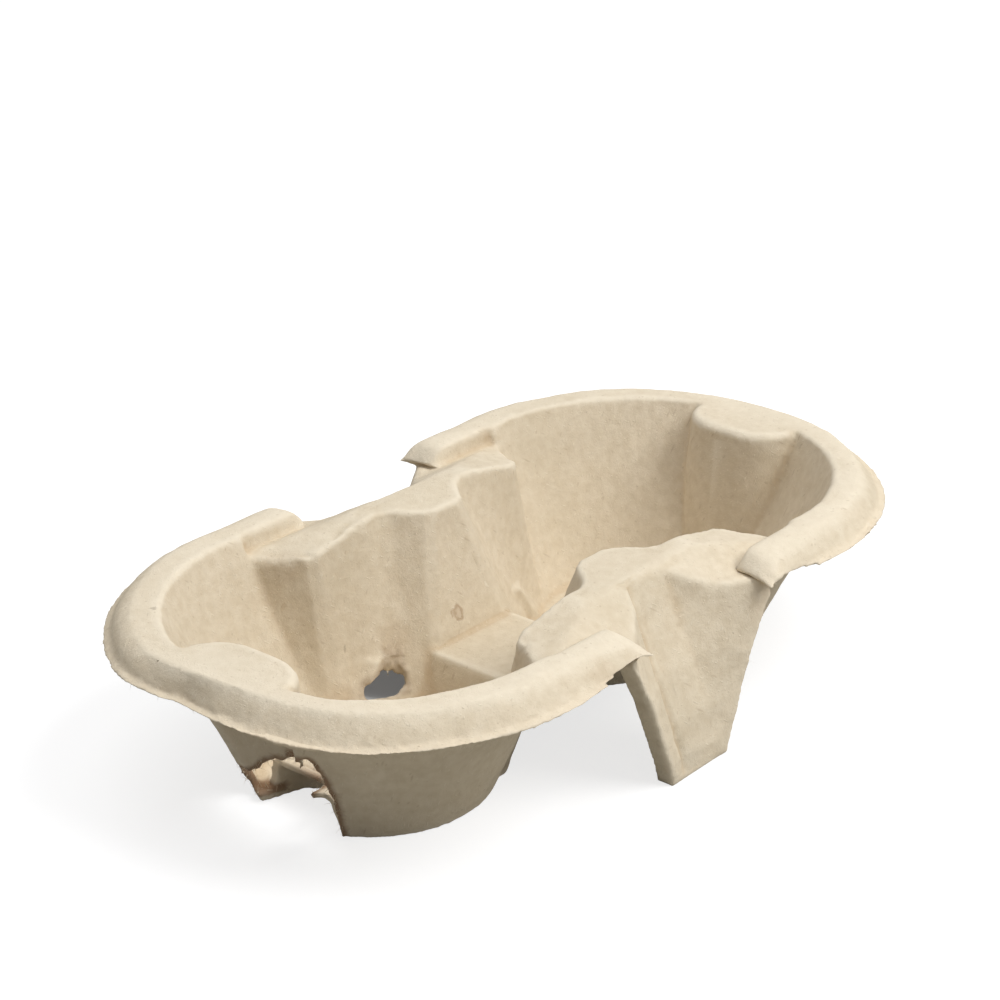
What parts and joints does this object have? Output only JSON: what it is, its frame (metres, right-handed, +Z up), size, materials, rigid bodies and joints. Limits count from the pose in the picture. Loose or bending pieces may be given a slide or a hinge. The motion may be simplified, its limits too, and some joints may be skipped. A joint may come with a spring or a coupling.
{
  "type": "moulded pulp cup carrier",
  "caption": "Moulded paper pulp tray with side-by-side wells that hold drinks cups, ribbed walls, a rolled rim and a splayed leg on each side of its waist.",
  "frame": {"origin": "under the middle of the tray, on the surface it stands on", "axes": "+X along the tray from one well to the other, the torn end at -X; +Y across it; +Z up"},
  "size_m": [0.2268, 0.1228, 0.046],
  "materials": {
    "pulp": "matt, rough, faintly speckled moulded paper pulp"
  },
  "bodies": {
    "root": {"pulp_tray": "pulp"}
  },
  "joints": []
}
